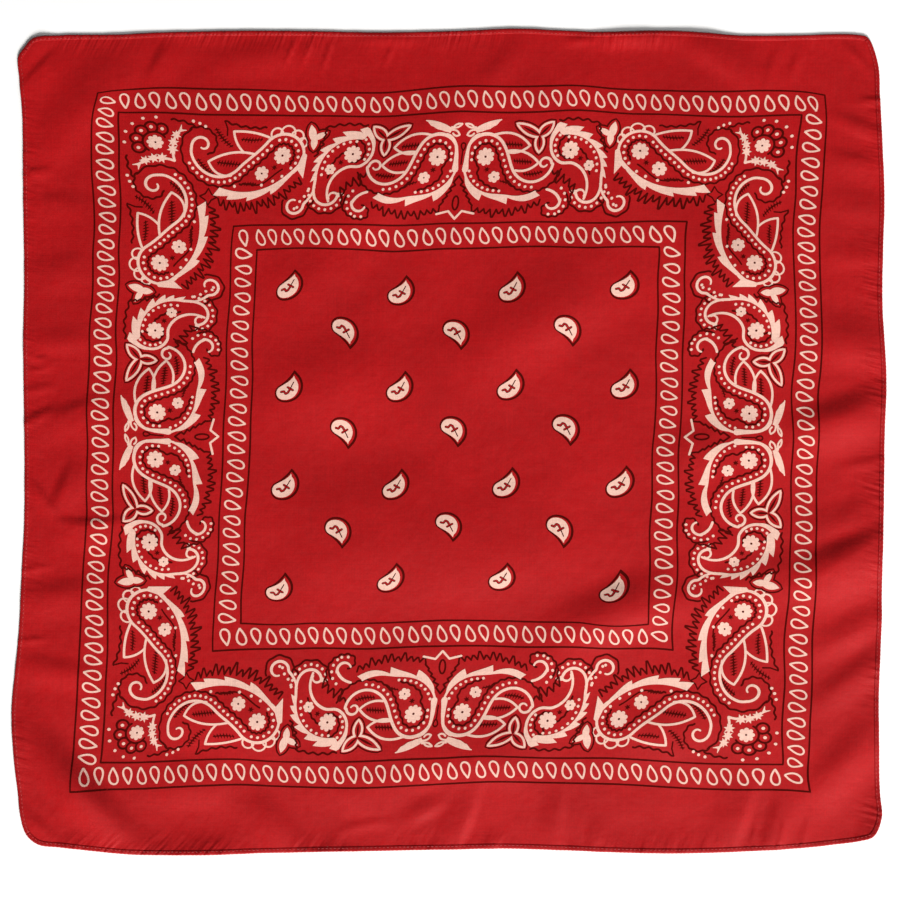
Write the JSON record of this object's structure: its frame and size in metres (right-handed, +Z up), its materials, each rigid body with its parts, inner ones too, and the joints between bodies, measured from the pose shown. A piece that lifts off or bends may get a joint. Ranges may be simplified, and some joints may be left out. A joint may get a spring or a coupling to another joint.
{
  "type": "bandana",
  "caption": "Nearly square red cotton bandana laid flat, printed with a traditional paisley border, with a narrow rolled hem on each edge.",
  "frame": {"origin": "middle of the bounding box at the flat underside, where the cloth rests", "axes": "+Z up out of the printed face, +X along the longer edges to the right, +Y towards the top edge"},
  "size_m": [0.5692, 0.5378, 0.004],
  "materials": {
    "cloth": "plain-weave cotton dyed red, with a faint satiny sheen",
    "hem": "the same cotton rolled twice and stitched",
    "thread": "red cotton lockstitch thread",
    "print_cream": "matt cream ink printed into the weave",
    "print_dark": "matt dark maroon ink printed into the weave"
  },
  "bodies": {
    "root": {"panel": "cloth", "hem_top": "hem", "hem_right": "hem", "hem_bottom": "hem", "hem_left": "hem"}
  },
  "joints": []
}
